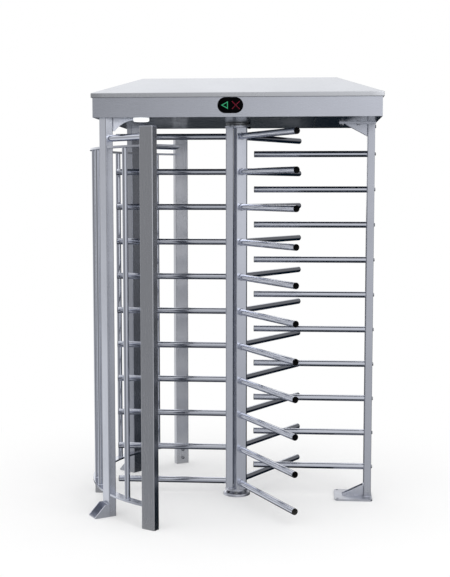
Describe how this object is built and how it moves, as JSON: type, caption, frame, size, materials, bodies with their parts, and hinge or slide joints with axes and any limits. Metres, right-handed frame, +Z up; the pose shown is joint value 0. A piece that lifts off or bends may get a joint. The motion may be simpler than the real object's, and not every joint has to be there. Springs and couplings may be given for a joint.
{
  "type": "full height turnstile",
  "caption": "Full height turnstile: a rotor with three wings of round arms turns between a comb barrier and a curved tube cage, under a hipped canopy with the drive head.",
  "frame": {"origin": "the rotor axis on the floor, at the middle of the floor flange's underside", "axes": "+Z up along the rotor axis, +X towards the comb post, -Y towards the side that the picture shows, so the curved cage is at -X"},
  "size_m": [1.548, 1.414, 2.258],
  "materials": {
    "tube_steel": "polished round stainless tube with a fine grain along it",
    "column_steel": "brushed rectangular stainless tube, grain along its length",
    "post_steel": "brushed rectangular stainless tube, grain along its length",
    "end_post_steel": "brushed rectangular stainless tube, a little darker",
    "bracket_steel": "satin laser-cut stainless plate with bright edges",
    "rail_steel": "satin stainless flat bar",
    "canopy_sheet": "satin folded stainless sheet, grain along its length",
    "lid_sheet": "pale satin folded stainless sheet",
    "ceiling_sheet": "smooth stainless sheet",
    "frame_paint": "grey powder coat",
    "machined_steel": "turned and milled steel",
    "hardened_steel": "blackened hardened steel",
    "bearing_steel": "ground bearing steel",
    "bearing_bronze": "sintered bronze",
    "housing_iron": "painted casting",
    "bolt_steel": "bright stainless fasteners",
    "black_plastic": "moulded black plastic",
    "grey_plastic": "moulded grey plastic",
    "indicator_black": "glossy black acrylic",
    "green_light": "glowing green",
    "red_light": "glowing red dots",
    "lamp_diffuser": "lit opal diffuser",
    "lamp_body": "white painted sheet",
    "seal_rubber": "black foam rubber",
    "coil_plastic": "moulded coil body",
    "damper_metal": "black anodised aluminium",
    "control_plastic": "textured grey enclosure",
    "supply_metal": "finned aluminium enclosure"
  },
  "bodies": {
    "frame": {"floor_flange": "bracket_steel", "pivot_pin": "hardened_steel", "bearing_outer_race": "bearing_steel", "bearing_housing": "housing_iron", "damper_body": "damper_metal", "pawl_pivots": "machined_steel", "pawl_springs": "bolt_steel", "solenoids": "coil_plastic", "position_sensor": "black_plastic", "drive_base_plate": "frame_paint", "top_frame": "frame_paint", "ceiling_panels": "ceiling_sheet", "canopy_fascia": "canopy_sheet", "lid_seal": "seal_rubber", "frame_hinge_leaves": "bolt_steel", "hinge_pins": "bolt_steel", "lock_barrels": "bolt_steel", "indicator_units": "indicator_black", "indicator_arrows": "green_light", "indicator_crosses": "red_light", "lamp_housing": "lamp_body", "lamp_lens": "lamp_diffuser", "control_box": "control_plastic", "power_supply": "supply_metal", "right_post": "post_steel", "right_foot": "bracket_steel", "right_head_bracket": "bracket_steel", "barrier_bars": "tube_steel", "barrier_plugs": "grey_plastic", "end_posts": "end_post_steel", "cage_posts": "post_steel", "post_caps": "bracket_steel", "cage_rails": "rail_steel", "cage_tubes": "tube_steel", "cage_brackets": "bracket_steel", "stub_leg": "end_post_steel", "frame_bolts": "bolt_steel"},
    "rotor": {"pivot_bush": "bearing_bronze", "rotor_bottom_plate": "bracket_steel", "rotor_columns": "column_steel", "rotor_arms": "tube_steel", "arm_plugs": "black_plastic", "rotor_top_plate": "bracket_steel", "rotor_bolts": "bolt_steel", "position_magnet": "black_plastic", "drive_shaft": "machined_steel", "shaft_collars": "machined_steel", "bearing_inner_race": "bearing_steel", "damper_gear": "machined_steel", "exit_ratchet": "hardened_steel", "entry_ratchet": "hardened_steel"},
    "damper_rotor": {"damper_pinion": "machined_steel"},
    "entry_pawl_arm": {"entry_pawl": "hardened_steel"},
    "exit_pawl_arm": {"exit_pawl": "hardened_steel"},
    "entry_plunger_rod": {"entry_plunger": "machined_steel"},
    "exit_plunger_rod": {"exit_plunger": "machined_steel"},
    "lid": {"roof_lid": "lid_sheet", "lid_hinge_leaves": "bolt_steel"},
    "left_lock_core": {"left_lock": "bolt_steel"},
    "right_lock_core": {"right_lock": "bolt_steel"}
  },
  "joints": [
    {"name": "rotor_turn", "type": "hinge", "parent": "frame", "child": "rotor", "pos_m": [0, 0, 0.03], "axis": [0, 0, 1], "continuous": true},
    {"name": "damper_pinion_turn", "type": "hinge", "parent": "frame", "child": "damper_rotor", "pos_m": [0, -0.105, 2.142], "axis": [0, 0, 1], "continuous": true},
    {"name": "entry_pawl_turn", "type": "hinge", "parent": "frame", "child": "entry_pawl_arm", "pos_m": [0.1, 0.062, 2.172], "axis": [0, 0, -1], "range_deg": [0, 11], "stiffness_Nm_per_rad": 0.05, "springref_deg": -17.19},
    {"name": "exit_pawl_turn", "type": "hinge", "parent": "frame", "child": "exit_pawl_arm", "pos_m": [-0.1, 0.062, 2.156], "axis": [0, 0, 1], "range_deg": [0, 11], "stiffness_Nm_per_rad": 0.05, "springref_deg": -17.19},
    {"name": "entry_plunger_slide", "type": "slide", "parent": "frame", "child": "entry_plunger_rod", "axis": [-1, 0, 0], "range_m": [0, 0.0158]},
    {"name": "exit_plunger_slide", "type": "slide", "parent": "frame", "child": "exit_plunger_rod", "axis": [1, 0, 0], "range_m": [0, 0.0158]},
    {"name": "lid_swing", "type": "hinge", "parent": "frame", "child": "lid", "pos_m": [0, 0.524, 2.138], "axis": [-1, 0, 0], "range_deg": [0, 75]},
    {"name": "left_lock_turn", "type": "hinge", "parent": "frame", "child": "left_lock_core", "pos_m": [-0.685, -0.4, 2.118], "axis": [-1, 0, 0], "range_deg": [0, 90]},
    {"name": "right_lock_turn", "type": "hinge", "parent": "frame", "child": "right_lock_core", "pos_m": [0.743, -0.4, 2.118], "axis": [-1, 0, 0], "range_deg": [0, 90]}
  ],
  "couplings": [
    {"joint": "damper_pinion_turn", "follows": "rotor_turn", "ratio": -2.5},
    {"joint": "entry_plunger_slide", "follows": "entry_pawl_turn", "m_per_rad": 0.0815},
    {"joint": "exit_plunger_slide", "follows": "exit_pawl_turn", "m_per_rad": 0.0815}
  ]
}
